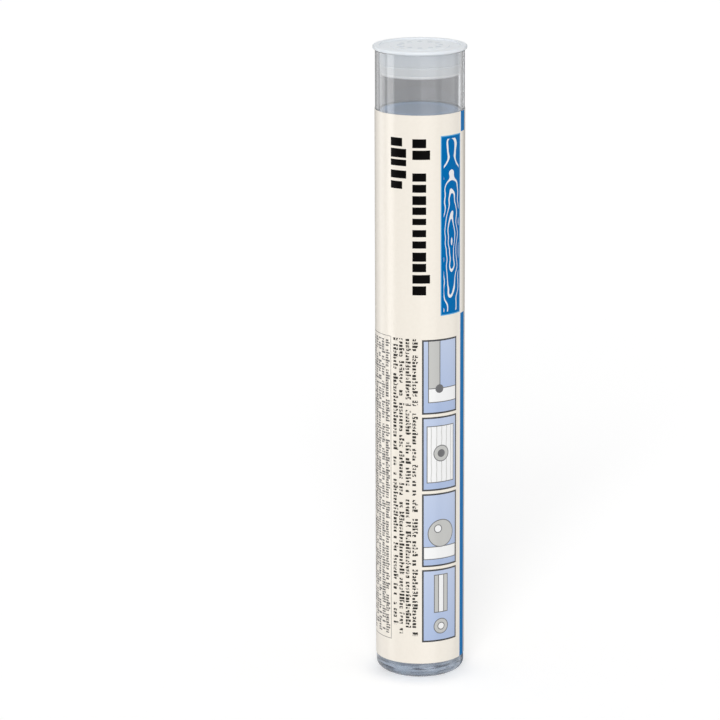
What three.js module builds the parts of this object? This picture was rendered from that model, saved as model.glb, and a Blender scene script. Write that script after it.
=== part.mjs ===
// A stick of two-part kneading putty for wood repairs, kept in a clear tube with a push-in cap.
// Millimetres, +Z up. The origin is the centre of the foot that the tube stands on.
// The front of the label faces -Y, and its seam is at the back, on +Y.

import * as THREE from 'three';

// The putty stick and its film.
const STICK_DIAMETER = 22.6;
const STICK_LENGTH = 164.5;
const STICK_EDGE_RADIUS = 1.9;
const STICK_TOP_EDGE_RADIUS = 0.5;
const SHEATH_WALL = 3.6;
const CORE_CLEARANCE = 0.02;
const FILM_THICKNESS = 0.1;
const FILM_CLEARANCE = 0.02;
const FILM_TURN_IN = 0.8;

// The tube: its bore takes the wrapped stick, and its height takes stick, headspace and plug.
const STICK_CLEARANCE = 0.28;
const TUBE_WALL = 1;
const BASE_THICKNESS = 1.6;
const HEADSPACE = 10.1;
const FOOT_DIAMETER = 15.4;
const FOOT_RING_WIDTH = 2.5;
const FOOT_RECESS_DEPTH = 0.4;
const BASE_CORNER_RISE = 3;
const FLOOR_CORNER_RADIUS = 1.5;
const MOUTH_EDGE_RADIUS = 0.35;
const SEAT_CLEARANCE = 0.05;

// The cap: a flange over the mouth, a sealing band in the bore and a tapered lead-in below it.
const FLANGE_OVERHANG = 0.7;
const FLANGE_THICKNESS = 1.1;
const FLANGE_EDGE_RADIUS = 0.5;
const CAP_RIM_WIDTH = 1.3;
const CAP_TOP_RECESS = 0.3;
const CAP_PLATE_THICKNESS = 1;
const PLUG_DEPTH = 7.05;
const PLUG_WALL = 1;
const PLUG_TAPER = 0.35;
const PLUG_LIP_RADIUS = 0.4;
const SEAL_BAND_DEPTH = 3.55;
const SEAL_BAND_STEP = 0.1;
const SEAL_CLEARANCE = 0.06;

// The label, measured round the outside of the tube.
const LABEL_THICKNESS = 0.1;
const LABEL_ADHESIVE = 0.05;
const LABEL_BASE_MARGIN = 2.3;
const LABEL_MOUTH_MARGIN = 16.9;
const LABEL_LAP = 4;
const LABEL_LIFT_LENGTH = 2;

// Facets round a full turn, and the number of straight steps in each rounded edge.
const FACETS = 64;
const EDGE_STEPS = 4;

// Sizes that follow from the ones above.
const stickRadius = STICK_DIAMETER / 2;
const coreRadius = stickRadius - SHEATH_WALL;
const stickEdge = Math.min(STICK_EDGE_RADIUS, SHEATH_WALL / 2);
const stickTopEdge = Math.min(STICK_TOP_EDGE_RADIUS, SHEATH_WALL / 2);
const filmRadius = stickRadius + FILM_CLEARANCE + FILM_THICKNESS;
const boreRadius = filmRadius + STICK_CLEARANCE;
const tubeRadius = boreRadius + TUBE_WALL;
const footRadius = FOOT_DIAMETER / 2;
const filmBottom = BASE_THICKNESS + SEAT_CLEARANCE;
const stickBottom = filmBottom + FILM_THICKNESS + FILM_CLEARANCE;
const stickTop = stickBottom + STICK_LENGTH;
const filmTop = stickTop + FILM_CLEARANCE + FILM_THICKNESS;
const plugBottom = filmTop + HEADSPACE;
const flangeBottom = plugBottom + PLUG_DEPTH;
const flangeTop = flangeBottom + FLANGE_THICKNESS;
const tubeTop = flangeBottom - SEAT_CLEARANCE;

const clearStyrene = new THREE.MeshStandardMaterial({
  name: 'clear_tube', color: 0xc9ced3, roughness: 0.08, metalness: 0, transparent: true, opacity: 0.35,
});
const milkyPolythene = new THREE.MeshStandardMaterial({
  name: 'milky_cap', color: 0xdce1e5, roughness: 0.35, metalness: 0, transparent: true, opacity: 0.8,
});
const creamPaper = new THREE.MeshStandardMaterial({
  name: 'label_paper', color: 0xf5eee3, roughness: 0.45, metalness: 0,
});
const clearFilm = new THREE.MeshStandardMaterial({
  name: 'clear_film', color: 0xe6ecf0, roughness: 0.12, metalness: 0, transparent: true, opacity: 0.2,
});
const blueGreyPutty = new THREE.MeshStandardMaterial({
  name: 'putty_sheath', color: 0x939da9, roughness: 0.6, metalness: 0,
});
const paleGreyPutty = new THREE.MeshStandardMaterial({
  name: 'putty_core', color: 0xa7abad, roughness: 0.65, metalness: 0,
});

// Adds a rounded corner to a profile: a quarter of an ellipse, turning left from one angle to the next.
function roundCorner(profile, centreX, centreY, run, rise, startAngle) {
  profile.absellipse(centreX, centreY, run, rise, startAngle, startAngle + Math.PI / 2, false);
}

// The same corner turning right, for an edge that bends into the hollow of a piece.
function hollowCorner(profile, centreX, centreY, radius, startAngle) {
  profile.absellipse(centreX, centreY, radius, radius, startAngle, startAngle - Math.PI / 2, true);
}

// Turns a profile (x is the radius, y the height) round +Z into one named solid.
function turnedPiece(name, profile, material) {
  const geometry = new THREE.LatheGeometry(profile.getPoints(EDGE_STEPS / 2), FACETS);
  geometry.rotateX(Math.PI / 2);
  const piece = new THREE.Mesh(geometry, material);
  piece.name = name;
  return piece;
}

// Clear tube: recessed foot, rounded base, straight wall, rounded mouth, bore and floor.
function tube() {
  const recessRadius = footRadius - FOOT_RING_WIDTH;
  const mouthEdge = Math.min(MOUTH_EDGE_RADIUS, TUBE_WALL / 2.5);
  const edgeHeight = tubeTop - mouthEdge;
  const floorCorner = FLOOR_CORNER_RADIUS;
  const profile = new THREE.Path();
  profile.moveTo(0, FOOT_RECESS_DEPTH);
  profile.lineTo(recessRadius, FOOT_RECESS_DEPTH);
  profile.lineTo(recessRadius + FOOT_RECESS_DEPTH, 0);
  roundCorner(profile, footRadius, BASE_CORNER_RISE, tubeRadius - footRadius, BASE_CORNER_RISE, -Math.PI / 2);
  roundCorner(profile, tubeRadius - mouthEdge, edgeHeight, mouthEdge, mouthEdge, 0);
  roundCorner(profile, boreRadius + mouthEdge, edgeHeight, mouthEdge, mouthEdge, Math.PI / 2);
  hollowCorner(profile, boreRadius - floorCorner, BASE_THICKNESS + floorCorner, floorCorner, 0);
  profile.lineTo(0, BASE_THICKNESS);
  return turnedPiece('tube', profile, clearStyrene);
}

// Cap, hollow from below: plate, tapered plug with its sealing band, flange, raised rim.
function plugCap() {
  const bandRadius = boreRadius - SEAL_CLEARANCE;
  const bandBottom = flangeBottom - SEAL_BAND_DEPTH;
  const leadInRadius = bandRadius - SEAL_BAND_STEP;
  const lipRadius = leadInRadius - PLUG_TAPER;
  const lip = Math.min(PLUG_LIP_RADIUS, PLUG_WALL / 2.5);
  const hollowRadius = lipRadius - PLUG_WALL;
  const topFace = flangeTop - CAP_TOP_RECESS;
  const plateUnderside = topFace - CAP_PLATE_THICKNESS;
  const flangeRadius = tubeRadius + FLANGE_OVERHANG;
  const edge = Math.min(FLANGE_EDGE_RADIUS, FLANGE_THICKNESS / 2.2);
  const rimRadius = flangeRadius - edge - CAP_RIM_WIDTH;
  const profile = new THREE.Path();
  profile.moveTo(0, plateUnderside);
  profile.lineTo(hollowRadius, plateUnderside);
  roundCorner(profile, hollowRadius + lip, plugBottom + lip, lip, lip, Math.PI);
  roundCorner(profile, lipRadius - lip, plugBottom + lip, lip, lip, -Math.PI / 2);
  profile.lineTo(leadInRadius, bandBottom - SEAL_BAND_STEP);
  profile.lineTo(bandRadius, bandBottom);
  profile.lineTo(bandRadius, flangeBottom);
  roundCorner(profile, flangeRadius - edge, flangeBottom + edge, edge, edge, -Math.PI / 2);
  roundCorner(profile, flangeRadius - edge, flangeTop - edge, edge, edge, 0);
  profile.lineTo(rimRadius, flangeTop);
  profile.lineTo(rimRadius - CAP_TOP_RECESS, topFace);
  profile.lineTo(0, topFace);
  return turnedPiece('plug_cap', profile, milkyPolythene);
}

// Label: one strip round the tube, which lifts over its own first edge and laps it.
function wrapLabel() {
  const innerRadius = tubeRadius + LABEL_ADHESIVE;
  const step = 2 * Math.PI / FACETS;
  const lapAngle = LABEL_LAP / innerRadius;
  const liftEnd = 2 * Math.PI - step;
  const liftStart = liftEnd - LABEL_LIFT_LENGTH / innerRadius;
  const sweep = 2 * Math.PI + lapAngle;
  const count = Math.ceil(sweep / step);
  const innerLine = [];
  const outerLine = [];
  for (let i = 0; i <= count; i += 1) {
    const turned = sweep * i / count;
    const lift = THREE.MathUtils.smoothstep(turned, liftStart, liftEnd) * (LABEL_THICKNESS + LABEL_ADHESIVE);
    const angle = Math.PI / 2 - lapAngle / 2 + turned;
    const direction = new THREE.Vector2(Math.cos(angle), Math.sin(angle));
    innerLine.push(direction.clone().multiplyScalar(innerRadius + lift));
    outerLine.push(direction.clone().multiplyScalar(innerRadius + lift + LABEL_THICKNESS));
  }
  const bottom = BASE_CORNER_RISE + LABEL_BASE_MARGIN;
  const strip = new THREE.Shape([...outerLine, ...innerLine.reverse()]);
  const height = tubeTop - LABEL_MOUTH_MARGIN - bottom;
  const geometry = new THREE.ExtrudeGeometry(strip, { depth: height, bevelEnabled: false });
  const piece = new THREE.Mesh(geometry, creamPaper);
  piece.name = 'wrap_label';
  piece.position.z = bottom;
  return piece;
}

// Film: a thin sleeve round the stick, turned in over both ends and open in the middle.
function protectiveFilm() {
  const innerRadius = filmRadius - FILM_THICKNESS;
  const lowInnerEdge = stickEdge + FILM_CLEARANCE;
  const lowOuterEdge = lowInnerEdge + FILM_THICKNESS;
  const lowRadius = stickRadius - stickEdge;
  const lowHeight = stickBottom + stickEdge;
  const lowOpening = lowRadius - FILM_TURN_IN;
  const topInnerEdge = stickTopEdge + FILM_CLEARANCE;
  const topOuterEdge = topInnerEdge + FILM_THICKNESS;
  const topRadius = stickRadius - stickTopEdge;
  const topHeight = stickTop - stickTopEdge;
  const topOpening = topRadius - FILM_TURN_IN;
  const profile = new THREE.Path();
  profile.moveTo(lowOpening, filmBottom);
  roundCorner(profile, lowRadius, lowHeight, lowOuterEdge, lowOuterEdge, -Math.PI / 2);
  roundCorner(profile, topRadius, topHeight, topOuterEdge, topOuterEdge, 0);
  profile.lineTo(topOpening, filmTop);
  profile.lineTo(topOpening, filmTop - FILM_THICKNESS);
  hollowCorner(profile, topRadius, topHeight, topInnerEdge, Math.PI / 2);
  profile.lineTo(innerRadius, lowHeight);
  hollowCorner(profile, lowRadius, lowHeight, lowInnerEdge, 0);
  profile.lineTo(lowOpening, filmBottom + FILM_THICKNESS);
  profile.closePath();
  return turnedPiece('protective_film', profile, clearFilm);
}

// Sheath: the outer half of the putty, a thick sleeve with a soft lower edge and a cut upper end.
function puttySheath() {
  const holeRadius = coreRadius + CORE_CLEARANCE;
  const lowRadius = stickRadius - stickEdge;
  const topRadius = stickRadius - stickTopEdge;
  const profile = new THREE.Path();
  profile.moveTo(holeRadius, stickBottom);
  roundCorner(profile, lowRadius, stickBottom + stickEdge, stickEdge, stickEdge, -Math.PI / 2);
  roundCorner(profile, topRadius, stickTop - stickTopEdge, stickTopEdge, stickTopEdge, 0);
  profile.lineTo(holeRadius, stickTop);
  profile.closePath();
  return turnedPiece('putty_sheath', profile, blueGreyPutty);
}

// Core: the inner half of the putty, cut flush with the ends of the sheath.
function puttyCore() {
  const profile = new THREE.Path();
  profile.moveTo(0, stickBottom);
  profile.lineTo(coreRadius, stickBottom);
  profile.lineTo(coreRadius, stickTop);
  profile.lineTo(0, stickTop);
  return turnedPiece('putty_core', profile, paleGreyPutty);
}

const repairStick = new THREE.Group();
repairStick.add(tube(), plugCap(), wrapLabel(), protectiveFilm(), puttySheath(), puttyCore());

export default repairStick;
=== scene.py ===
# %% [markdown]
# A stick of wood-repair putty in its clear tube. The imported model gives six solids: the tube, the
# push-in cap, the label, and the wrapped stick with its film, sheath and core. This lesson gives
# each of them a finer surface and a finish, then lights them and sets the camera.

# %% Load the frame
import math

import bpy
import numpy as np
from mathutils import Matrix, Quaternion, Vector


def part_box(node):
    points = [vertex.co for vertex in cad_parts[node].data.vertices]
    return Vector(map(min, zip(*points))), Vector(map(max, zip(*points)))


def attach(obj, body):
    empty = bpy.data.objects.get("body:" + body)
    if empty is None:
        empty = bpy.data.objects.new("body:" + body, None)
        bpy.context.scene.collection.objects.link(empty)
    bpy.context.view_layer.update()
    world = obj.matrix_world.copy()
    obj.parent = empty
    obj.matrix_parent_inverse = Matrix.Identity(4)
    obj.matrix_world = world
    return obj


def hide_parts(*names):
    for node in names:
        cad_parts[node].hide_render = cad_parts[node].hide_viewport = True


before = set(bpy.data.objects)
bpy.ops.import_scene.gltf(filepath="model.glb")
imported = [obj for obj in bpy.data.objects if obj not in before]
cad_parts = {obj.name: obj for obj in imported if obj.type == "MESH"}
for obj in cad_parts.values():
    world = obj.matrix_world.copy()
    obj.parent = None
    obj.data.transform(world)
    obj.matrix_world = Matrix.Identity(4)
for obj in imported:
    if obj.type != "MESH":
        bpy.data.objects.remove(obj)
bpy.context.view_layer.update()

MM = 0.001

# %% [markdown]
# The camera stands about a metre in front of the tube and a little above it, as a still-life camera
# does. The near distance matters: the cap is seen from 9 degrees above and the foot from 18, so the
# rings along the tube open more and more towards the foot. Looking down makes upright lines lean, the
# more the further they are from the middle of the picture, so a quarter of a degree of roll puts the
# tube upright again.

# %% Camera
IMAGE_SIDE = 720
TUBE_AXIS_PIXEL = 419.85
TUBE_WIDTH_PIXELS = 88.3
CAMERA_BACK = 1050 * MM
CAMERA_HEIGHT = 358 * MM
AIM_HEIGHT = 93 * MM
SENSOR = 36.0

tube_low, tube_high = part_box("tube")
tube_radius = tube_high.x
metres_per_pixel = 2 * tube_radius / TUBE_WIDTH_PIXELS
aim_x = -(TUBE_AXIS_PIXEL - IMAGE_SIDE / 2) * metres_per_pixel
camera_spot = Vector((aim_x, -CAMERA_BACK, CAMERA_HEIGHT))
aim_spot = Vector((aim_x, 0, AIM_HEIGHT))
sight = aim_spot - camera_spot

camera = bpy.data.objects.new("camera", bpy.data.cameras.new("camera"))
bpy.context.scene.collection.objects.link(camera)
camera.location = camera_spot
lean = aim_x / sight.length * (CAMERA_HEIGHT - AIM_HEIGHT) / CAMERA_BACK
upright = Quaternion((0, 0, 1), lean)
camera.rotation_euler = (sight.to_track_quat("-Z", "Y") @ upright).to_euler()
camera.data.sensor_width = SENSOR
camera.data.lens = SENSOR * sight.length / (IMAGE_SIDE * metres_per_pixel)
bpy.context.scene.camera = camera
print("lens in mm:", round(camera.data.lens, 1), "distance in mm:", round(sight.length / MM))

# %% [markdown]
# Everything here except the label is turned: one outline, carried round the Z axis. The outline is
# a list of (radius, height) points made of straight stretches and arcs. numpy multiplies it out to
# the whole grid at once, which keeps every ring perfectly round and every seam closed.

# %% Turned surfaces
AROUND = 192
ARC_STEPS = 10
SUPPORT = 0.15 * MM
SUPPORT_SHARE = 0.25
SAME_POINT = 1e-7
CREASE = math.radians(40)


def line(start, end):
    """Two ends, and a point close to each of them, which keeps the smooth shading of a rounded edge
    from spreading over the flat beside it."""
    start, end = np.array(start, float), np.array(end, float)
    near = min(SUPPORT_SHARE, SUPPORT / np.linalg.norm(end - start))
    return start + np.array([[0], [near], [1 - near], [1]]) * (end - start)


def straight(*corners):
    """Corners joined by lines."""
    return np.vstack([line(start, end) for start, end in zip(corners[:-1], corners[1:])])


def arc(centre, run, rise, start, end):
    """Part of an ellipse: centre plus (run cos a, rise sin a), for a from start to end in degrees."""
    a = np.radians(np.linspace(start, end, ARC_STEPS + 1))
    return np.array(centre) + np.column_stack([run * np.cos(a), rise * np.sin(a)])


def outline(*stretches):
    """Stretches in order, without the points where one begins at the end of the last."""
    points = np.vstack(stretches)
    apart = np.linalg.norm(np.diff(points, axis=0), axis=1) > SAME_POINT
    return points[np.append(True, apart)]


def grid_faces(rows, columns, closed_rows, closed_columns):
    """Quads of a grid of points numbered row by row, joined round where a side is closed."""
    i = np.arange(rows if closed_rows else rows - 1)[:, None]
    j = np.arange(columns if closed_columns else columns - 1)[None, :]
    right, up = (j + 1) % columns, (i + 1) % rows
    quads = [i * columns + j, i * columns + right, up * columns + right, up * columns + j]
    return np.stack(quads, axis=-1).reshape(-1, 4)


def make_piece(name, points, faces):
    """A mesh object at the origin, with its place in its points, smooth except at its creases."""
    mesh = bpy.data.meshes.new(name)
    mesh.from_pydata(points, [], faces)
    mesh.validate()
    mesh.shade_smooth()
    mesh.set_sharp_from_angle(angle=CREASE)
    piece = bpy.data.objects.new(name, mesh)
    bpy.context.scene.collection.objects.link(piece)
    print(name, "has", len(mesh.polygons), "faces")
    return piece


def turned(name, profile, wobble=None):
    """Surface of revolution: (r, z) goes to (r cos a, r sin a, z). wobble(a, r, z) may return a
    change of r and of z for every point. A profile from axis to axis gets a single point at each
    pole, and any other profile is a ring whose last point is its first."""
    ring = profile[0, 0] > 0
    rows = profile[:-1] if ring else profile[1:-1]
    a = np.linspace(0, 2 * np.pi, AROUND, endpoint=False)[None, :]
    r, z = rows[:, :1] + 0 * a, rows[:, 1:] + 0 * a
    if wobble:
        change_r, change_z = wobble(a, r, z)
        r, z = r + change_r, z + change_z
    points = np.stack([r * np.cos(a), r * np.sin(a), z], axis=-1).reshape(-1, 3)
    faces = grid_faces(len(rows), AROUND, ring, True).tolist()
    if not ring:
        start, end = len(points), len(points) + 1
        points = np.vstack([points, [0, 0, profile[0, 1]], [0, 0, profile[-1, 1]]])
        j = np.arange(AROUND)
        right = (j + 1) % AROUND
        top = (len(rows) - 1) * AROUND
        faces += np.column_stack([right, j, np.full(AROUND, start)]).tolist()
        faces += np.column_stack([top + j, top + right, np.full(AROUND, end)]).tolist()
    return make_piece(name, points.tolist(), faces)


print("a turned ring has", AROUND, "points,", round(360 / AROUND, 2), "degrees apart")

# %% [markdown]
# The tube is one moulding: a foot with a shallow recess that keeps the gate mark off the table, a
# rounded base, a straight wall, a softly rounded mouth, then the bore down to the floor. Both faces
# of the wall are modelled, because a clear wall bends light where it goes in and where it comes out.

# %% Clear tube
WALL = 1.0 * MM
FLOOR = 1.6 * MM
FLOOR_CORNER = 1.5 * MM
FOOT_RADIUS = 7.7 * MM
BASE_RISE = 3.0 * MM
RECESS_RADIUS = 5.2 * MM
RECESS_DEPTH = 0.4 * MM
GATE_RADIUS = 0.9 * MM
GATE_DEPTH = 0.2 * MM
MOUTH_EDGE = 0.35 * MM

mouth = tube_high.z
bore_radius = tube_radius - WALL
mouth_centre = mouth - MOUTH_EDGE
clear_tube = turned("clear_tube", outline(
    straight((0, RECESS_DEPTH - GATE_DEPTH), (GATE_RADIUS / 2, RECESS_DEPTH - GATE_DEPTH)),
    straight((GATE_RADIUS, RECESS_DEPTH), (RECESS_RADIUS, RECESS_DEPTH)),
    straight((RECESS_RADIUS + RECESS_DEPTH, 0), (FOOT_RADIUS, 0)),
    arc((FOOT_RADIUS, BASE_RISE), tube_radius - FOOT_RADIUS, BASE_RISE, -90, 0),
    straight((tube_radius, BASE_RISE), (tube_radius, mouth_centre)),
    arc((tube_radius - MOUTH_EDGE, mouth_centre), MOUTH_EDGE, MOUTH_EDGE, 0, 90),
    arc((bore_radius + MOUTH_EDGE, mouth_centre), MOUTH_EDGE, MOUTH_EDGE, 90, 180),
    straight((bore_radius, mouth_centre), (bore_radius, FLOOR + FLOOR_CORNER)),
    arc((bore_radius - FLOOR_CORNER, FLOOR + FLOOR_CORNER), FLOOR_CORNER, FLOOR_CORNER, 0, -90),
    straight((bore_radius - FLOOR_CORNER, FLOOR), (0, FLOOR)),
))
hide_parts("tube")
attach(clear_tube, "tube")
print("bore in mm:", round(2 * bore_radius / MM, 2), "depth in mm:", round((mouth - FLOOR) / MM, 2))

# %% [markdown]
# The cap is a thin moulding of milky polythene. Its flange covers the mouth and has a raised rim
# round a shallow dish, in which a low plateau carries a ring of moulded dots. Below the flange a
# straight band seals in the bore, and under a groove the plug tapers, so that it finds its way in, down
# to a beaded lip. It is hollow from below, so daylight comes through it. The dots are added to the
# turned outline as a change of height that depends on the way round too.

# %% Push-in cap
FLANGE_THICKNESS = 1.1 * MM
FLANGE_EDGE = 0.5 * MM
RIM_WIDTH = 1.3 * MM
DISH_DEPTH = 0.45 * MM
DISH_FILLET = 0.45 * MM
PLATEAU_RADIUS = 8.2 * MM
PLATEAU_HEIGHT = 0.2 * MM
CAP_GATE_RADIUS = 0.8 * MM
PLATE_ROWS = 44
DOTS = 12
DOT_RING = 5.8 * MM
DOT_RADIUS = 1.0 * MM
DOT_HEIGHT = 0.22 * MM
DOT_STEEPNESS = 2.2
PLATE = 1.0 * MM
BAND_DEPTH = 3.55 * MM
BAND_CLEARANCE = 0.06 * MM
BAND_STEP = 0.16 * MM
GROOVE = 0.32 * MM
TAPER = 0.29 * MM
PLUG_WALL = 1.0 * MM
LIP = 0.4 * MM
BEAD_TURN = 60

cap_low, cap_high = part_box("plug_cap")
flange_radius = cap_high.x
flange_bottom = cap_high.z - FLANGE_THICKNESS
band_radius = bore_radius - BAND_CLEARANCE
lead_radius = band_radius - BAND_STEP
lip_radius = lead_radius - TAPER
hollow_radius = lip_radius - PLUG_WALL
dish = cap_high.z - DISH_DEPTH
underside = dish - PLATE
rim_inner = flange_radius - FLANGE_EDGE - RIM_WIDTH
band_bottom = flange_bottom - BAND_DEPTH
plate_radii = np.linspace(PLATEAU_RADIUS, CAP_GATE_RADIUS, PLATE_ROWS)
bead_top = cap_low.z + LIP + LIP * math.sin(math.radians(BEAD_TURN))
bead_out = LIP * (1 - math.cos(math.radians(BEAD_TURN)))


def ease(x):
    """0 below 0, 1 above 1, and a smooth S between them."""
    x = np.clip(x, 0, 1)
    return x * x * (3 - 2 * x)


def moulded_dots(a, r, z):
    """Round bumps on a ring: each falls with the distance from the nearest of DOTS even centres."""
    pitch = 2 * np.pi / DOTS
    sideways = (np.mod(a + pitch / 2, pitch) - pitch / 2) * DOT_RING
    away = np.hypot(sideways, r - DOT_RING)
    dot = ease(DOT_STEEPNESS * (1 - away / DOT_RADIUS))
    return 0 * r, DOT_HEIGHT * dot * (z > dish)


push_in_cap = turned("push_in_cap", outline(
    straight((0, underside), (hollow_radius - LIP, underside)),
    arc((hollow_radius - LIP, underside - LIP), LIP, LIP, 90, 0),
    straight((hollow_radius, underside - LIP), (hollow_radius, cap_low.z + LIP)),
    arc((hollow_radius + LIP, cap_low.z + LIP), LIP, LIP, 180, 270),
    arc((lip_radius - LIP + bead_out, cap_low.z + LIP), LIP, LIP, 270, 360 + BEAD_TURN),
    straight((lip_radius, bead_top), (lead_radius, band_bottom - 2 * GROOVE)),
    arc((lead_radius, band_bottom - GROOVE), GROOVE, GROOVE, -90, -270),
    straight((lead_radius, band_bottom), (band_radius, band_bottom)),
    straight((band_radius, band_bottom), (band_radius, flange_bottom)),
    straight((band_radius, flange_bottom), (flange_radius - FLANGE_EDGE, flange_bottom)),
    arc((flange_radius - FLANGE_EDGE, flange_bottom + FLANGE_EDGE), FLANGE_EDGE, FLANGE_EDGE, -90, 0),
    arc((flange_radius - FLANGE_EDGE, cap_high.z - FLANGE_EDGE), FLANGE_EDGE, FLANGE_EDGE, 0, 90),
    straight((flange_radius - FLANGE_EDGE, cap_high.z), (rim_inner, cap_high.z)),
    arc((rim_inner - DISH_FILLET, cap_high.z), DISH_FILLET, DISH_DEPTH, 0, -90),
    straight((rim_inner - DISH_FILLET, dish), (PLATEAU_RADIUS + PLATEAU_HEIGHT, dish)),
    np.column_stack([plate_radii, np.full(PLATE_ROWS, dish + PLATEAU_HEIGHT)]),
    straight((CAP_GATE_RADIUS / 2, dish + PLATEAU_HEIGHT / 2), (0, dish + PLATEAU_HEIGHT / 2)),
), moulded_dots)
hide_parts("plug_cap")
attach(push_in_cap, "cap")
print("flange in mm:", round(2 * flange_radius / MM, 2), "plug lip in mm:", round(2 * lip_radius / MM, 2))

# %% [markdown]
# The label is a strip of printed film, stuck round the tube and lapped over its own first edge at
# the back. It is a grid of two parameters, the way round and the height. The radius grows by one
# thickness of film and adhesive where the strip climbs over itself, and Solidify gives the strip its
# own thickness inwards. A UV map holds the print's own millimetres: across from the middle of the
# front, and up.

# %% Printed label
LABEL_THICKNESS = 0.1 * MM
ADHESIVE = 0.05 * MM
LABEL_LAP = 4.0 * MM
LABEL_LIFT = 2.0 * MM
LIFT_MARGIN = 0.1
LABEL_COLUMNS = 480
BACK = 0.5 * math.pi
FRONT = 1.5 * math.pi
PRINT_MAP = "print_mm"

label_low, label_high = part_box("wrap_label")
label_radius = tube_radius + ADHESIVE + LABEL_THICKNESS
lap_angle = LABEL_LAP / (tube_radius + ADHESIVE)
lift_angle = LABEL_LIFT / (tube_radius + ADHESIVE)

sweep = np.linspace(0, 2 * np.pi + lap_angle, LABEL_COLUMNS)[None, :]
height = line((0, label_low.z), (0, label_high.z))[:, 1:]
climb_end = 2 * np.pi - LIFT_MARGIN
climb = ease((sweep - climb_end + lift_angle) / lift_angle) * (LABEL_THICKNESS + ADHESIVE)
turn = BACK - lap_angle / 2 + sweep
strip_radius = label_radius + climb + 0 * height
label_points = np.stack([
    strip_radius * np.cos(turn),
    strip_radius * np.sin(turn),
    height + 0 * sweep,
], axis=-1).reshape(-1, 3)
label_faces = grid_faces(len(height), LABEL_COLUMNS, False, False)
printed_label = make_piece("printed_label", label_points.tolist(), label_faces.tolist())

across = label_radius / MM * (turn - FRONT) + 0 * height
up = (height - label_low.z) / MM + 0 * sweep
print_uv = np.stack([across, up], axis=-1).reshape(-1, 2)
uv_layer = printed_label.data.uv_layers.new(name=PRINT_MAP)
uv_layer.data.foreach_set("uv", print_uv[label_faces.ravel()].astype(np.float32).ravel())

thicken = printed_label.modifiers.new("film thickness", "SOLIDIFY")
thicken.thickness = LABEL_THICKNESS
thicken.offset = -1
thicken.material_offset = 1
thicken.material_offset_rim = 1
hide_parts("wrap_label")
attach(printed_label, "tube")
print("label wraps", round(float(across.max() - across.min()), 1), "mm and is",
      round(float(up.max()), 1), "mm tall")

# %% [markdown]
# The putty is sold as a round stick of two halves that only harden when they are kneaded together:
# a blue-grey sheath round a pale core. It is soft, so the tube's floor rounds its lower edge, and only
# its upper end is cut square. Its side is never quite true, so a few slow waves go round and along it,
# pressed inwards so that it still fits its film.

# %% Putty sheath and core
STICK_EDGE = 1.8 * MM
STICK_TOP_EDGE = 0.15 * MM
CORE_GAP = 0.02 * MM
SLUMP = 0.06 * MM
DIMPLE = 0.15 * MM
SIDE_ROWS = 60
SIDE_WAVES = ((3, 55), (2, -130), (5, 210))

sheath_low, sheath_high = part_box("putty_sheath")
core_low, core_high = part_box("putty_core")
stick_radius = sheath_high.x
core_radius = core_high.x
low_edge_radius = stick_radius - STICK_EDGE
top_edge_radius = stick_radius - STICK_TOP_EDGE
hole_radius = core_radius + CORE_GAP


def soft_side(a, r, z):
    """Slow waves that take up to SLUMP off the stick's outer side. Each is a sine that goes a whole
    number of times round the axis and turns by so many radians for each metre along it."""
    waves = sum(np.sin(turns * a + along * z) for turns, along in SIDE_WAVES)
    lowered = (waves / len(SIDE_WAVES) - 1) / 2
    on_side = ease((r - hole_radius) / (stick_radius - hole_radius))
    return SLUMP * lowered * on_side, 0 * z


def stick_side(low, high):
    """The stick's outer side from its lower to its upper flat, in several rows so that it can wave."""
    heights = np.linspace(low + STICK_EDGE, high - STICK_TOP_EDGE, SIDE_ROWS)
    return np.column_stack([np.full(SIDE_ROWS, stick_radius), heights])


sheath_stick = turned("sheath_stick", outline(
    straight((hole_radius, sheath_low.z), (low_edge_radius, sheath_low.z)),
    arc((low_edge_radius, sheath_low.z + STICK_EDGE), STICK_EDGE, STICK_EDGE, -90, 0),
    stick_side(sheath_low.z, sheath_high.z),
    arc((top_edge_radius, sheath_high.z - STICK_TOP_EDGE), STICK_TOP_EDGE, STICK_TOP_EDGE, 0, 90),
    straight((top_edge_radius, sheath_high.z), (hole_radius, sheath_high.z)),
    straight((hole_radius, sheath_high.z), (hole_radius, sheath_low.z)),
), soft_side)
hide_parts("putty_sheath")
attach(sheath_stick, "stick")

core_stick = turned("core_stick", outline(
    straight((0, core_low.z + DIMPLE), (core_radius / 2, core_low.z + DIMPLE / 2)),
    straight((core_radius, core_low.z), (core_radius, core_high.z)),
    straight((core_radius / 2, core_high.z - DIMPLE / 2), (0, core_high.z - DIMPLE)),
))
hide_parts("putty_core")
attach(core_stick, "stick")
stick_length = sheath_high.z - sheath_low.z
print("stick in mm:", round(2 * stick_radius / MM, 2), "by", round(stick_length / MM, 2))

# %% [markdown]
# A thin clear film keeps the putty off the tube. It is a sleeve, turned in over both ends, and at
# the open end the spare film gathers in small pleats, a sine round the axis. The soft putty presses the
# film against the tube, so no air is left between them, and the putty seems to fill the tube right out to
# its edges. A renderer only shows that if the film just overlaps the tube outside and the putty inside.

# %% Clear wrapping film
FILM_TURN_IN = 0.8 * MM
FILM_LOW_OPENING = 2.0 * MM
CLING = 0.01 * MM
SINK = 0.02 * MM
PLEATS = 30
PLEAT_HEIGHT = 0.06 * MM
PLEAT_MEAN = 0.6
PLEAT_SWING = 0.4
SWING_TURNS = 7
SWING_START = 1.0

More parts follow.
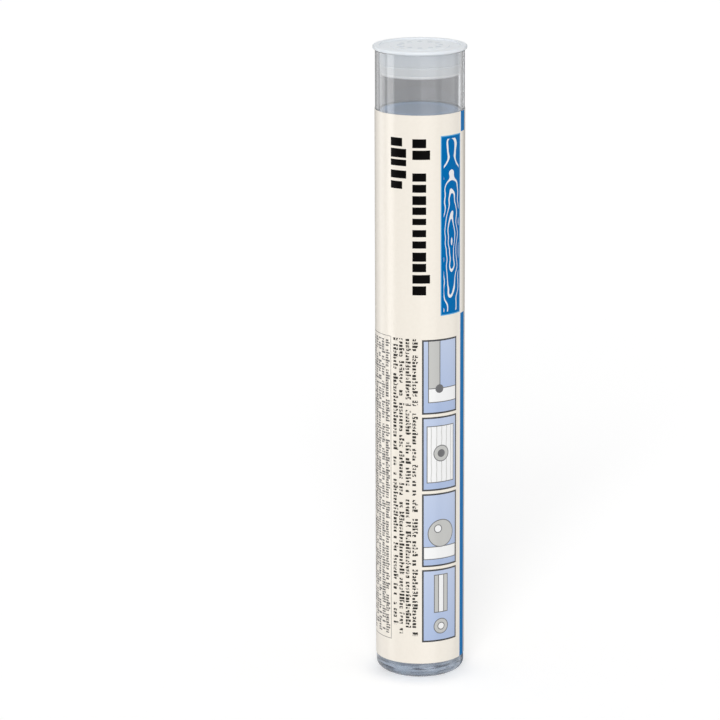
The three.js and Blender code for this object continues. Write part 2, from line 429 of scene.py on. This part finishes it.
film_low, film_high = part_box("protective_film")
cling_radius = bore_radius + CLING
cling_edge = FLOOR_CORNER + CLING
cling_floor = FLOOR - CLING
sunk_radius = stick_radius - SLUMP - SINK
sunk_floor = sheath_low.z + SINK
sunk_top = sheath_high.z - SINK
top_opening = top_edge_radius - FILM_TURN_IN
tube_corner = (bore_radius - FLOOR_CORNER, FLOOR + FLOOR_CORNER)
low_centre = (low_edge_radius, sheath_low.z + STICK_EDGE)
top_centre = (top_edge_radius, sheath_high.z - STICK_TOP_EDGE)
film_rise = film_high.z - top_centre[1]


def pleats(a, r, z):
    """Waves of the turned-in film on top of the stick, a sine round the axis between 0 and 1, times a
    slower one that makes some taller than others. They hang down from the film's upper face."""
    on_top = ease((stick_radius - r) / FILM_TURN_IN) * (z > sheath_high.z)
    tall = PLEAT_MEAN + PLEAT_SWING * np.sin(SWING_TURNS * a + SWING_START)
    wave = tall * (0.5 + 0.5 * np.sin(PLEATS * a))
    return 0 * r, PLEAT_HEIGHT * (wave - 1) * on_top


clear_wrap = turned("clear_wrap", outline(
    straight((FILM_LOW_OPENING, cling_floor), (tube_corner[0], cling_floor)),
    arc(tube_corner, cling_edge, cling_edge, -90, 0),
    arc(top_centre, cling_radius - top_centre[0], film_rise, 0, 90),
    straight((top_centre[0], film_high.z), (top_opening, film_high.z)),
    straight((top_opening, film_high.z), (top_opening, sunk_top)),
    straight((top_opening, sunk_top), (top_centre[0], sunk_top)),
    arc(top_centre, sunk_radius - top_centre[0], STICK_TOP_EDGE - SINK, 90, 0),
    arc(low_centre, sunk_radius - low_centre[0], STICK_EDGE - SINK, 0, -90),
    straight((low_centre[0], sunk_floor), (FILM_LOW_OPENING, sunk_floor)),
    straight((FILM_LOW_OPENING, sunk_floor), (FILM_LOW_OPENING, cling_floor)),
), pleats)
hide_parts("protective_film")
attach(clear_wrap, "stick")
print("film in mm:", round((film_high.z - film_low.z) / MM, 2), "long")

# %% [markdown]
# Materials are node trees, and shader maths is easier to read as Python. A Wire stands for one
# socket: adding, multiplying or comparing wires adds the Math nodes. A Finish is one material, and
# its node method makes any node from its type, its settings and what goes into its sockets.

# %% Shader maths
class Wire:
    """An output socket of a finish, with the operators that its shader maths needs."""

    def __init__(self, finish, socket):
        self.finish = finish
        self.socket = socket

    def math(self, operation, *others):
        links = dict(enumerate((self, *others)))
        return self.finish.node("ShaderNodeMath", {"operation": operation}, links)

    def __add__(self, other):
        return self.math("ADD", other)

    def __sub__(self, other):
        return self.math("SUBTRACT", other)

    def __rsub__(self, other):
        return self.finish.node("ShaderNodeMath", {"operation": "SUBTRACT"}, {0: other, 1: self})

    def __mul__(self, other):
        return self.math("MULTIPLY", other)

    def __truediv__(self, other):
        return self.math("DIVIDE", other)

    def __mod__(self, other):
        return self.math("FLOORED_MODULO", other)

    def __gt__(self, other):
        return self.math("GREATER_THAN", other)

    def __lt__(self, other):
        return self.math("LESS_THAN", other)

    def floor(self):
        return self.math("FLOOR")

    def clamped(self):
        """Held between 0 and 1."""
        return self.math("MAXIMUM", 0).math("MINIMUM", 1)

    def inside(self, low, high):
        """1 between low and high, else 0."""
        return (self > low) * (self < high)

    def between(self, low, high):
        """low where this is 0 and high where it is 1."""
        return low + (high - low) * self

    __radd__ = __add__
    __rmul__ = __mul__


class Finish:
    """The node tree of a material, or of the world, while it is made."""

    def __init__(self, owner):
        self.owner = owner
        owner.use_nodes = True
        self.tree = owner.node_tree
        self.tree.nodes.clear()

    def node(self, kind, settings=None, links=None, output=0):
        """Any node: its type, its settings, then what goes into its sockets, by name or number."""
        made = self.tree.nodes.new(kind)
        for name, value in (settings or {}).items():
            setattr(made, name, value)
        for where, value in (links or {}).items():
            if isinstance(value, Wire):
                self.tree.links.new(value.socket, made.inputs[where])
            else:
                made.inputs[where].default_value = value
        return Wire(self, made.outputs[output]) if made.outputs else None

    def mix(self, share, below, above):
        """The colour below where share is 0 and above where it is 1."""
        return self.node("ShaderNodeMix", {"data_type": "RGBA"}, {0: share, 6: below, 7: above}, 2)

    def noise(self, place, scale, detail=2.0):
        """Soft random values round 0.5, with so many blotches to a unit of place."""
        return self.node("ShaderNodeTexNoise", {}, {"Vector": place, "Scale": scale, "Detail": detail})

    def bump(self, height, strength, distance):
        """A normal that leans as if the surface rose by height times distance."""
        links = {"Strength": strength, "Distance": distance, "Height": height}
        return self.node("ShaderNodeBump", {}, links)

    def object_place(self, stretch=(1.0, 1.0, 1.0)):
        """The piece's own coordinates in metres, each multiplied by its stretch."""
        place = self.node("ShaderNodeTexCoord", output="Object")
        return self.node("ShaderNodeMapping", {}, {"Vector": place, "Scale": stretch})

    def part(self, place, axis):
        """One coordinate of a place."""
        return self.node("ShaderNodeSeparateXYZ", {}, {0: place}, axis)

    def seen_by(self, *kinds):
        """1 for rays of any of these kinds, else 0."""
        seen, *others = [self.node("ShaderNodeLightPath", output=f"Is {kind} Ray") for kind in kinds]
        for other in others:
            seen = seen.math("MAXIMUM", other)
        return seen

    def principled(self, **sockets):
        """The all-round surface shader. A socket's name is written with underscores for its spaces."""
        links = {name.replace("_", " "): value for name, value in sockets.items()}
        return self.node("ShaderNodeBsdfPrincipled", {}, links)

    def lamps_pass(self, shader, share):
        """This shader for the eye, and see-through for rays that ask whether a lamp can be seen."""
        clear = self.node("ShaderNodeBsdfTransparent", {}, {"Color": share})
        return self.node("ShaderNodeMixShader", {}, {0: self.seen_by("Shadow"), 1: shader, 2: clear})

    def cover(self, shader, piece):
        """Ends the material with this shader and adds it to the piece's slots."""
        self.node("ShaderNodeOutputMaterial", {}, {"Surface": shader})
        piece.data.materials.append(self.owner)
        print(self.owner.name, "has", len(self.tree.nodes), "nodes")


def new_finish(name):
    """An empty material."""
    return Finish(bpy.data.materials.new(name))


def rgb(red, green, blue):
    """A colour as a screen writes it, 0 to 255, as the linear values that a shader wants."""
    screen = np.array([red, green, blue]) / 255
    linear = np.where(screen <= 0.04045, screen / 12.92, ((screen + 0.055) / 1.055) ** 2.4)
    return (*linear.tolist(), 1.0)


print("screen grey 128 is", round(rgb(128, 128, 128)[0], 3), "in linear light")

# %% [markdown]
# The tube is clear polystyrene with a faint smoky cast. It is smooth, and it bends light. Rays that
# only ask whether a lamp can be seen would be stopped by such a surface, and the putty inside would go
# dark, so those rays get a plain see-through shader, and light that bounces about passes the tube too.
# The flow of the plastic up from the foot leaves faint long streaks in the polish.

# %% Clear polystyrene
STYRENE_SHARE = (0.97, 0.97, 0.97, 1.0)
PLASTIC_IOR = 1.5
ALONG_FLOW = (1.0, 1.0, 0.1)

styrene = new_finish("clear_polystyrene")
flow = styrene.noise(styrene.object_place(ALONG_FLOW), scale=420.0)
smoke = styrene.mix(flow, rgb(212, 213, 215), rgb(219, 220, 222))
glass = styrene.principled(
    Base_Color=smoke, Roughness=flow.between(0.03, 0.06), IOR=PLASTIC_IOR, Transmission_Weight=1.0,
    Normal=styrene.bump(flow, strength=0.01, distance=0.2 * MM))
styrene.cover(styrene.lamps_pass(glass, STYRENE_SHARE), clear_tube)
clear_tube.visible_diffuse = False

# %% [markdown]
# The cap is natural polythene, white with a touch of blue, and light soaks into it: subsurface
# scattering carries it about half a millimetre, and lamps still shine through it at part strength, so
# that its shadow in the tube is pale. The plug is thinner than the flange. Below its band it is painted
# paler, and its lip palest, as painted light for the light that comes through the thin plastic. The
# moulded dots are thicker than the plate under them, and they are painted greyer, as painted shade for
# the light that they hold back. A fine moulded grain breaks the shine.

# %% Milky polythene
MILK_SHARE = (0.8, 0.81, 0.82, 1.0)
MILK_DEPTH = (0.4 * MM, 0.42 * MM, 0.45 * MM)
PAINTED_LIGHT_MILK = rgb(250, 252, 253)
PLUG_PAINTED_LIGHT = 0.5
PAINTED_SHADE_MILK = rgb(176, 185, 196)
DOT_PAINTED_SHADE = 0.45

polythene = new_finish("milky_polythene")
place = polythene.object_place()
cloud = polythene.noise(place, scale=160.0, detail=3.0)
grain = polythene.noise(place, scale=2600.0)
cap_x, cap_y, cap_z = (polythene.part(place, axis) for axis in "XYZ")
milk = polythene.mix(cloud, rgb(229, 234, 239), rgb(239, 244, 248))
# Painted light: the plug below its band, and more so its lip, are mixed towards a paler milk.
milk = polythene.mix(PLUG_PAINTED_LIGHT * (cap_z < band_bottom), milk, PAINTED_LIGHT_MILK)
milk = polythene.mix(cap_z < bead_top, milk, PAINTED_LIGHT_MILK)
# Painted shade: the moulded dots are mixed towards a greyer milk.
on_plateau = cap_x * cap_x + cap_y * cap_y < PLATEAU_RADIUS ** 2
on_dot = on_plateau * (cap_z > dish + PLATEAU_HEIGHT + DOT_HEIGHT / 2)
milk = polythene.mix(on_dot * DOT_PAINTED_SHADE, milk, PAINTED_SHADE_MILK)
body = polythene.principled(
    Base_Color=milk, Roughness=grain.between(0.32, 0.44), IOR=PLASTIC_IOR,
    Subsurface_Weight=0.25, Subsurface_Scale=1.0, Subsurface_Radius=MILK_DEPTH,
    Normal=polythene.bump(grain, strength=0.08, distance=0.1 * MM))
polythene.cover(polythene.lamps_pass(body, MILK_SHARE), push_in_cap)

# %% [markdown]
# The print is drawn by arithmetic on the label's own millimetres, u across and v up. A mask is 1 on
# the ink and 0 beside it, and each mask mixes its ink over what is printed already. First come the
# cream ground, and the blue stripe that runs up the side and stops for the panel.

# %% Label ground and stripe
CREAM = rgb(249, 242, 231)
SHADED_CREAM = rgb(243, 236, 224)
STRIPE_BLUE = rgb(0, 120, 190)
STRIPE_SIDES = (14.1, 17.0)
STRIPE_BREAK = (102.9, 155.5)

label_print = new_finish("label_print")
print_place = label_print.node("ShaderNodeUVMap", {"uv_map": PRINT_MAP})
u, v = (label_print.part(print_place, axis) for axis in "XY")


def area(left, right, bottom, top):
    """Mask of an upright rectangle of the label."""
    return u.inside(left, right) * v.inside(bottom, top)


mottle = label_print.noise(print_place, scale=0.9, detail=4.0)
paper = label_print.mix(mottle, SHADED_CREAM, CREAM)
stripe = u.inside(*STRIPE_SIDES) * (1 - v.inside(*STRIPE_BREAK))
paper = label_print.mix(stripe, paper, STRIPE_BLUE)
print("ground and stripe take", len(label_print.tree.nodes), "nodes")

# %% [markdown]
# The panel holds a plain drawing of wood grain: long ovals round one knot, bent by noise, and
# turned into lines by keeping a narrow part of each ring. A box is its left, right, bottom and top.

# %% Label panel
PANEL_BLUE = rgb(0, 110, 180)
PANEL_EDGE = rgb(96, 172, 222)
PRINT_WHITE = rgb(246, 246, 246)
PANEL_BOX = (5.9, 13.7, 103.4, 155.2)
PANEL_GROUND_BOX = (6.2, 13.4, 103.7, 154.9)
GRAIN_BOX = (6.9, 12.8, 104.4, 154.2)
KNOT_U = 9.8
KNOT_V = 124.0
KNOT_SLIMNESS = 0.16
RINGS_PER_MM = 0.9
RING_BEND = 2.2
RING_LINE = 0.22

panel = area(*PANEL_BOX)
paper = label_print.mix(panel, paper, PANEL_EDGE)
paper = label_print.mix(area(*PANEL_GROUND_BOX), paper, PANEL_BLUE)
bend = label_print.noise(print_place, scale=0.16, detail=1.0)
knot_u = u - KNOT_U
knot_v = (v - KNOT_V) * KNOT_SLIMNESS
oval = (knot_u * knot_u + knot_v * knot_v).math("SQRT")
rings = (oval * RINGS_PER_MM + bend * RING_BEND) % 1
grain_lines = area(*GRAIN_BOX) * (rings < RING_LINE)
paper = label_print.mix(grain_lines, paper, PRINT_WHITE)
print("with the panel", len(label_print.tree.nodes), "nodes")

# %% [markdown]
# The words are greeked, as a designer does on a sample: blocks with the rhythm of type, which say
# nothing. Each line is cut into cells, and random numbers for each cell decide whether it is a space,
# how long its block is and whether it rises above the small letters. Small type is also worn by finer
# cells, so that it is grey and uneven from a distance, as small type is.

# %% Label type
INK = rgb(6, 5, 5)
GREY_INK = rgb(52, 50, 50)
LETTER_FOOT = 0.1
LETTER_SIDE = 0.06
LETTER_LENGTHS = (0.62, 0.88)
TALL_EXTRA = 0.26
TALL_FROM = 0.68
SPACE_BELOW = 0.14
CELLS_PER_LETTER = 3
BODY_STRENGTH = 0.95
NOTES_STRENGTH = 0.95
BACK_STRENGTH = 0.85
FRAME_STRENGTH = 0.8
NOTES_BOX = (-25.0, -9.1, 6.7, 97.2)
NOTES_INNER_BOX = (-24.8, -9.3, 6.9, 97.0)


def chance(column, row):
    """A steady random number for each cell of a table."""
    cell = label_print.node("ShaderNodeCombineXYZ", {}, {0: column, 1: row})
    return label_print.node("ShaderNodeTexWhiteNoise", {"noise_dimensions": "2D"}, {"Vector": cell})


def greeked(left, pitch, lines, bottom, top, letter, size, ragged=0.0, worn=0.0):
    """Mask of lines of type that run down the label: line after line across, letter after letter
    down. size is the share of the pitch that a small letter fills, ragged the most that a line
    stops short, and worn the share of fine cells without ink."""
    row = ((u - left) / pitch).floor()
    step = ((top - v) / letter).floor()
    luck = chance(row + left, step)
    rise = ((u - left) / pitch) % 1
    run = ((top - v) / letter) % 1
    tall = size + TALL_EXTRA * (luck > TALL_FROM)
    length = chance(step, row).between(*LETTER_LENGTHS)
    block = rise.inside(LETTER_FOOT, tall + LETTER_FOOT) * run.inside(LETTER_SIDE, length)
    line_end = bottom + ragged * chance(row, left)
    column = u.inside(left, left + pitch * lines) * v.inside(line_end, top)
    ink = block * column * (luck > SPACE_BELOW)
    if worn:
        cell = letter / CELLS_PER_LETTER
        ink = ink * (chance((u / cell).floor(), (v / cell).floor()) > worn)
    return ink


title = greeked(left=-2.9, pitch=5.6, lines=1, bottom=109.6, top=154.8, letter=3.25, size=0.7)
subtitle = greeked(left=-9.6, pitch=5.5, lines=1, bottom=139.5, top=155.0, letter=3.1, size=0.68)
body_type = greeked(
    left=-8.5, pitch=1.98, lines=4, bottom=6.8, top=97.0, letter=0.95, size=0.54, ragged=6.0, worn=0.2)
notes = greeked(
    left=-24.4, pitch=1.85, lines=8, bottom=8.0, top=96.0, letter=0.74, size=0.62, ragged=3.0, worn=0.08)
back_notes = greeked(
    left=20.0, pitch=1.9, lines=9, bottom=10.0, top=96.0, letter=0.8, size=0.46, ragged=18.0, worn=0.3)
notes_frame = area(*NOTES_BOX) * (1 - area(*NOTES_INNER_BOX))

paper = label_print.mix(title + subtitle, paper, INK)
paper = label_print.mix(body_type * BODY_STRENGTH, paper, INK)
paper = label_print.mix(notes * NOTES_STRENGTH, paper, GREY_INK)
paper = label_print.mix(back_notes * BACK_STRENGTH, paper, GREY_INK)
paper = label_print.mix(notes_frame * FRAME_STRENGTH, paper, GREY_INK)
print("with the type", len(label_print.tree.nodes), "nodes")

# %% [markdown]
# Four little pictures in a column say how such a stick is used, from the lowest up: cut a slice, knead
# it to a ball, fill a knot, mend a corner. Each is a few bars and discs in grey and white on pale blue.
# A shape is printed twice, first a little larger in dark grey, which leaves an outline round it. The
# whole pitches below v say which picture a place is in, and the rest of v is the height in it.

# %% Label pictures
PICTURES = 4
PICTURES_LOW = 6.5
PICTURE_PITCH = 22.75
PICTURE_HEIGHT = 21.9
PICTURE_LEFT = 0.4
PICTURE_RIGHT = 11.9
PICTURE_FRAME = 0.5
PICTURE_LINE = rgb(44, 44, 48)
PICTURE_GREY = rgb(196, 196, 193)
PICTURE_DARK = rgb(104, 104, 106)
OUTLINE = 0.26
PLANK = (2.0, 10.4, 2.6, 19.0)
PLANK_GRAINS_PER_MM = 0.62
PLANK_BEND = 0.3
PLANK_LINE = 0.14

picture_v = (v - PICTURES_LOW) % PICTURE_PITCH
picture_step = ((v - PICTURES_LOW) / PICTURE_PITCH).floor()
pictures_top = PICTURES_LOW + PICTURES * PICTURE_PITCH
pictures = area(PICTURE_LEFT, PICTURE_RIGHT, PICTURES_LOW, pictures_top) * (picture_v < PICTURE_HEIGHT)
paper = label_print.mix(pictures, paper, PICTURE_LINE)
inside_sides = u.inside(PICTURE_LEFT + PICTURE_FRAME, PICTURE_RIGHT - PICTURE_FRAME)
inside_ends = picture_v.inside(PICTURE_FRAME, PICTURE_HEIGHT - PICTURE_FRAME)
picture_inside = pictures * inside_sides * inside_ends
pale_blue = label_print.mix(picture_v / PICTURE_PITCH, rgb(170, 188, 222), rgb(192, 205, 231))
paper = label_print.mix(picture_inside, paper, pale_blue)


def bar(left, right, bottom, top, grow):
    """Mask of an upright rectangle of a picture, larger by grow on each side."""
    return u.inside(left - grow, right + grow) * picture_v.inside(bottom - grow, top + grow)


def disc(centre_u, centre_v, radius, grow):
    """Mask of a round of a picture: where the square of the distance is less than that of the radius."""
    away_u = u - centre_u
    away_v = picture_v - centre_v
    return away_u * away_u + away_v * away_v < (radius + grow) ** 2


def picture(step):
    """Mask of the inside of one picture, counted from the lowest."""
    return picture_inside * picture_step.inside(step - 0.5, step + 0.5)


def draw(paper, step, shape, colour, *sizes):
    """Prints one outlined shape over the paper, in one of the pictures."""
    outlined = label_print.mix(picture(step) * shape(*sizes, OUTLINE), paper, PICTURE_DARK)
    return label_print.mix(picture(step) * shape(*sizes, 0), outlined, colour)


paper = draw(paper, 0, bar, PICTURE_GREY, 4.2, 8.2, 9.0, 20.0)
paper = draw(paper, 0, bar, PRINT_WHITE, 5.5, 6.9, 9.0, 20.0)
paper = draw(paper, 0, disc, PICTURE_GREY, 6.2, 4.6, 2.1)
paper = draw(paper, 0, disc, PRINT_WHITE, 6.2, 4.6, 0.9)
paper = draw(paper, 1, bar, PRINT_WHITE, 1.0, 11.3, 2.4, 5.8)
paper = draw(paper, 1, disc, PICTURE_GREY, 6.2, 9.9, 3.9)
paper = draw(paper, 1, disc, PRINT_WHITE, 5.2, 11.3, 1.0)
paper = draw(paper, 2, bar, PRINT_WHITE, *PLANK)
plank_bend = label_print.noise(print_place, scale=0.3, detail=1.0)
plank_lines = (u * PLANK_GRAINS_PER_MM + PLANK_BEND * plank_bend) % 1 < PLANK_LINE
paper = label_print.mix(picture(2) * bar(*PLANK, 0) * plank_lines, paper, PICTURE_GREY)
paper = draw(paper, 2, disc, PICTURE_GREY, 6.2, 11.0, 2.2)
paper = draw(paper, 2, disc, PICTURE_DARK, 6.2, 11.0, 0.9)
paper = draw(paper, 3, bar, PICTURE_GREY, 2.4, 5.6, 3.6, 22.0)
paper = draw(paper, 3, bar, PRINT_WHITE, 2.4, 12.0, 3.6, 7.4)
paper = draw(paper, 3, disc, PICTURE_DARK, 5.6, 7.4, 1.0)
print("with the pictures", len(label_print.tree.nodes), "nodes")

# %% [markdown]
# The ground of the label is varnished, and its inks are left matt, so the varnish is a coat whose weight
# is 0 on the inks. The soft light bands down the label are the cards of the studio in that coat. The
# film's other side, and its cut edge, are plain white.

# %% Label film
VARNISH = 0.75
VARNISH_ROUGHNESS = 0.22

fibre = label_print.noise(print_place, scale=6.0, detail=3.0)
inked = title + subtitle + panel + body_type + stripe
label_film = label_print.principled(
    Base_Color=paper, Roughness=fibre.between(0.28, 0.36), IOR=PLASTIC_IOR, Specular_IOR_Level=0.03,
    Coat_Weight=inked.between(VARNISH, 0), Coat_Roughness=VARNISH_ROUGHNESS, Coat_IOR=PLASTIC_IOR,
    Normal=label_print.bump(fibre, strength=0.05, distance=0.05 * MM))
label_print.cover(label_film, printed_label)

label_back = new_finish("label_back")
back_cloud = label_back.noise(label_back.object_place(), scale=300.0, detail=3.0)
back_white = label_back.mix(back_cloud, rgb(228, 226, 220), rgb(240, 238, 233))
label_back.cover(label_back.principled(Base_Color=back_white, Roughness=0.6), printed_label)

# %% [markdown]
# Unmixed putty is waxy and matt, heavy with filler. Fine specks and slow clouds of a second shade
# keep it from looking like paint, and a little subsurface scattering gives it the waxy depth.

# %% Putty
PUTTY_IOR = 1.45
PUTTY_DEPTH = (0.5 * MM, 0.5 * MM, 0.6 * MM)
SPECK_FROM = 0.64
SPECK_STRENGTH = 0.5
CLOUD_SHARE = 0.6
# Painted shade: dark wavy streaks near the stick's lower end.
SHADE_STREAK_TOP = 3.6 * MM
SHADE_STREAK_FADE = 1.6 * MM
SHADE_STREAK_SQUEEZE = (1.0, 1.0, 8.0)
SHADE_STREAK_FROM = 0.45
SHADE_STREAK_CONTRAST = 7
SHADE_STREAK_STRENGTH = 0.95


def putty(name, piece, dark, light, speck, streak_shade):
    """A waxy paste: clouds of two shades, specks of filler, a soft uneven skin, and at the lower end
    dark wavy streaks of painted shade, for the dark bands that the tube's rounded foot shows there. The
    streaks are noise that is squeezed upright."""
    paste = new_finish(name)
    place = paste.object_place()
    cloud = paste.noise(place, scale=110.0, detail=4.0)
    grit = paste.noise(place, scale=1900.0, detail=3.0)
    colour = paste.mix(cloud, dark, light)
    colour = paste.mix((grit > SPECK_FROM) * SPECK_STRENGTH, colour, speck)
    # Painted shade: dark wavy streaks near the lower end, for the dark bands seen there through the
    # rounded foot.
    waves = paste.noise(paste.object_place(SHADE_STREAK_SQUEEZE), scale=170.0, detail=3.0)
    painted_streak = ((waves - SHADE_STREAK_FROM) * SHADE_STREAK_CONTRAST).clamped()
    near_end = (1 - (paste.part(place, "Z") - SHADE_STREAK_TOP) / SHADE_STREAK_FADE).clamped()
    colour = paste.mix(painted_streak * near_end * SHADE_STREAK_STRENGTH, colour, streak_shade)
    skin = cloud * CLOUD_SHARE + grit * (1 - CLOUD_SHARE)
    waxy = paste.principled(
        Base_Color=colour, Roughness=grit.between(0.5, 0.7), IOR=PUTTY_IOR,
        Subsurface_Weight=0.15, Subsurface_Scale=1.0, Subsurface_Radius=PUTTY_DEPTH,
        Normal=paste.bump(skin, strength=0.25, distance=0.25 * MM))
    paste.cover(waxy, piece)


# The last colour of each paste is the painted shade of its streaks at the lower end.
putty("sheath_putty", sheath_stick, dark=rgb(185, 201, 222), light=rgb(199, 214, 234),
      speck=rgb(207, 219, 235), streak_shade=rgb(76, 90, 112))
putty("core_putty", core_stick, dark=rgb(183, 195, 211), light=rgb(197, 208, 222),
      speck=rgb(213, 221, 231), streak_shade=rgb(130, 140, 154))

# %% [markdown]
# The film is as clear as the tube, without its smoke. A soft bump lets its gloss run in long uneven
# streaks once the stick is out of the tube.

# %% Clear film
FILM_SHARE = (0.98, 0.98, 0.98, 1.0)
ALONG_FILM = (1.0, 1.0, 0.18)

film = new_finish("clear_film")
crinkle = film.noise(film.object_place(ALONG_FILM), scale=420.0, detail=3.0)
film_tint = film.mix(crinkle, rgb(240, 244, 247), rgb(250, 252, 253))
film_gloss = film.principled(
    Base_Color=film_tint, Roughness=crinkle.between(0.05, 0.15), IOR=PLASTIC_IOR, Transmission_Weight=1.0,
    Normal=film.bump(crinkle, strength=0.2, distance=0.3 * MM))
film.cover(film.lamps_pass(film_gloss, FILM_SHARE), clear_wrap)
clear_wrap.visible_diffuse = False

# %% [markdown]
# The stage is a pale floor under an even white sky. Both are lifted to white only for rays that see
# them directly, in gloss or through the tube, so they put no extra light on the object, and the floor
# still takes the tube's shadow.

# %% Floor and sky
FLOOR_REACH = 12.0
FLOOR_WHITE = (0.93, 0.93, 0.93, 1.0)
FLOOR_LIFT = 0.29
SKY_WHITE = (1.0, 1.0, 1.0, 1.0)
SKY_LIGHT = 0.58
SKY_GLOW = 1.0

floor_corners = FLOOR_REACH * np.array([(-1, -1, 0), (1, -1, 0), (1, 1, 0), (-1, 1, 0)])
floor = make_piece("floor", floor_corners.tolist(), [(0, 1, 2, 3)])
floor.visible_glossy = False
chalk = new_finish("pale_floor")
floor_seen = chalk.seen_by("Camera", "Transmission")
dust = chalk.node("ShaderNodeBsdfDiffuse", {}, {"Color": FLOOR_WHITE})
lift = chalk.node("ShaderNodeEmission", {}, {"Strength": floor_seen * FLOOR_LIFT})
chalk.cover(chalk.node("ShaderNodeAddShader", {}, {0: dust, 1: lift}), floor)

world = bpy.data.worlds.new("white_sky")
bpy.context.scene.world = world
sky = Finish(world)
sky_strength = sky.seen_by("Camera", "Glossy", "Transmission").between(SKY_LIGHT, SKY_GLOW)
white = sky.node("ShaderNodeBackground", {}, {"Color": SKY_WHITE, "Strength": sky_strength})
sky.node("ShaderNodeOutputWorld", {}, {"Surface": white})
print("the sky lights the object at", SKY_LIGHT, "and is seen at", SKY_GLOW)

# %% [markdown]
# One broad lamp in front and above lights the object. The pale streaks down the tube and down the label's
# varnish are reflections of tall glowing cards with soft edges, and a dark card behind on either side
# keeps the outline from washing out. Only gloss can see these cards, so they put no light on the object,
# and because gloss doesn't see the floor, the streaks run on towards the foot. A grey wall all round, and
# three gleams in front of it, are seen only through clear plastic. They give the empty end its grey.

# %% Lamp and cards
CARD_DISTANCE = 1.2
WALL_DISTANCE = 0.6
GLEAM_DISTANCE = 0.56
CARD_LOW = -0.8
CARD_HIGH = 0.5
CARD_COLUMNS = 49
CARD_ROWS = 40
CARD_SOFT = 0.5
WALL_GLOW = 0.54
WHOLE = (CARD_LOW - 0.1, CARD_LOW)
ABOVE_FOOT = (-0.42, -0.34)
GLOW_MAP = "glow"
LAMP_AZIMUTH = -6
LAMP_ELEVATION = 30
LAMP_ENERGY = 1.2
LAMP_SPREAD = 25


def direction(azimuth, elevation):
    """A unit vector from the object. Azimuth 0 is the camera's side, and 90 is on the right."""
    a, e = math.radians(azimuth), math.radians(elevation)
    return Vector((math.sin(a) * math.cos(e), -math.cos(a) * math.cos(e), math.sin(e)))


def add_card(name, azimuth, spread, radiance, fade=WHOLE, distance=CARD_DISTANCE, behind=SKY_GLOW):
    """An upright card, part of a ring round the tube, that takes up so many degrees as the tube sees
    it. Its glow goes over to the glow behind it along CARD_SOFT of either half, and downwards between
    the two heights of fade. A far card is seen by gloss, and a near one through clear plastic."""
    across = np.linspace(-1, 1, CARD_COLUMNS)[None, :]
    a = np.radians(azimuth + spread / 2 * across)
    z = np.linspace(CARD_LOW, CARD_HIGH, CARD_ROWS)[:, None]
    rows = [distance * np.sin(a) + 0 * z, -distance * np.cos(a) + 0 * z, z + 0 * a]
    faces = grid_faces(CARD_ROWS, CARD_COLUMNS, False, False)
    card = make_piece(name, np.stack(rows, axis=-1).reshape(-1, 3).tolist(), faces.tolist())
    share = ease((1 - abs(across)) / CARD_SOFT) * ease((z - fade[0]) / (fade[1] - fade[0]))
    glow = (behind + (radiance - behind) * share).ravel()
    colours = np.column_stack([glow, glow, glow, np.ones_like(glow)]).astype(np.float32)
    card.data.attributes.new(GLOW_MAP, "FLOAT_COLOR", "POINT").data.foreach_set("color", colours.ravel())
    card.visible_camera = False
    card.visible_diffuse = False
    card.visible_shadow = False
    card.visible_glossy = distance == CARD_DISTANCE
    card.visible_transmission = distance < CARD_DISTANCE
    paint = new_finish(name)
    colour = paint.node("ShaderNodeAttribute", {"attribute_name": GLOW_MAP})
    paint.cover(paint.node("ShaderNodeEmission", {}, {"Color": colour}), card)
    paint.owner.cycles.emission_sampling = "NONE"


add_card("left_rim_card", azimuth=-113, spread=32, radiance=2.8, fade=ABOVE_FOOT)
add_card("left_card", azimuth=-82, spread=30, radiance=4.6, fade=ABOVE_FOOT)
add_card("front_card", azimuth=21, spread=56, radiance=2.1)
add_card("right_card", azimuth=78, spread=56, radiance=1.9)
add_card("right_rim_card", azimuth=122, spread=22, radiance=1.8, fade=ABOVE_FOOT)
add_card("right_flag", azimuth=156, spread=46, radiance=0.1)
add_card("left_flag", azimuth=-160, spread=40, radiance=0.35, fade=ABOVE_FOOT)

wall = {"distance": WALL_DISTANCE, "behind": WALL_GLOW}
gleam = {"distance": GLEAM_DISTANCE, "behind": WALL_GLOW}
add_card("grey_wall", azimuth=0, spread=360, radiance=WALL_GLOW, **wall)
add_card("left_glow", azimuth=-148, spread=28, radiance=0.6, **gleam)
add_card("left_gleam", azimuth=-166, spread=10, radiance=0.75, **gleam)
add_card("right_gleam", azimuth=161, spread=9, radiance=2.0, **gleam)

lamp = bpy.data.objects.new("broad_lamp", bpy.data.lights.new("broad_lamp", "SUN"))
bpy.context.scene.collection.objects.link(lamp)
lamp.location = direction(LAMP_AZIMUTH, LAMP_ELEVATION)
lamp.rotation_euler = (-lamp.location).to_track_quat("-Z", "Y").to_euler()
lamp.data.energy = LAMP_ENERGY
lamp.data.angle = math.radians(LAMP_SPREAD)

bpy.context.scene.view_settings.view_transform = "Standard"
print("lamp energy:", lamp.data.energy, "at", [round(part, 2) for part in lamp.location])
